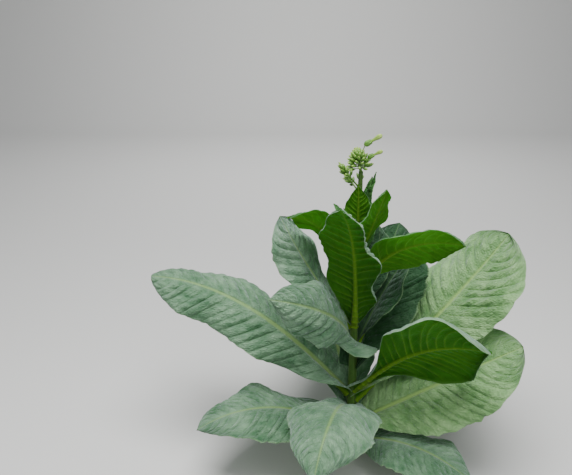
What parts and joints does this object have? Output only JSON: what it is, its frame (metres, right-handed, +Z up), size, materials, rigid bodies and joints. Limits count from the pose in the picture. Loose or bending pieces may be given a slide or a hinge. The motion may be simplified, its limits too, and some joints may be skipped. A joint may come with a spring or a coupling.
{
  "type": "tobacco plant",
  "caption": "Leafy crop plant in bud: an upright tapering stem rooted in the ground, broad arching leaves set round it in a spiral, and a head of small flower buds on top.",
  "frame": {"origin": "middle of the stem's flat cut at ground level", "axes": "+Z up along the stem; the picture looks at the plant along +Y, so -Y is the side toward the viewer and +X is the viewer's right"},
  "size_m": [1.1261, 0.9433, 1.0056],
  "materials": {
    "stem": "green soft-wooded stem, finely ridged and downy, matte",
    "leaf": "thin leaf, downy and matte bluish green above, brighter green below, pale veins and rim",
    "bud": "small soft green flower buds with pale yellow-green tips, matte"
  },
  "bodies": {
    "root": {"stem": "stem", "leaf_01": "leaf", "leaf_02": "leaf", "leaf_03": "leaf", "leaf_04": "leaf", "leaf_05": "leaf", "leaf_06": "leaf", "leaf_07": "leaf", "leaf_08": "leaf", "leaf_09": "leaf", "leaf_10": "leaf", "leaf_11": "leaf", "leaf_12": "leaf", "leaf_13": "leaf", "leaf_14": "leaf", "leaf_15": "leaf", "leaf_16": "leaf", "leaf_17": "leaf", "leaf_18": "leaf", "leaf_19": "leaf", "leaf_20": "leaf", "leaf_21": "leaf", "leaf_22": "leaf", "leaf_23": "leaf", "leaf_24": "leaf", "leaf_25": "leaf", "leaf_26": "leaf", "leaf_27": "leaf", "bud_head": "bud", "bud_branch_left": "bud", "bud_branch_back": "bud", "bud_branch_right": "bud"}
  },
  "joints": []
}
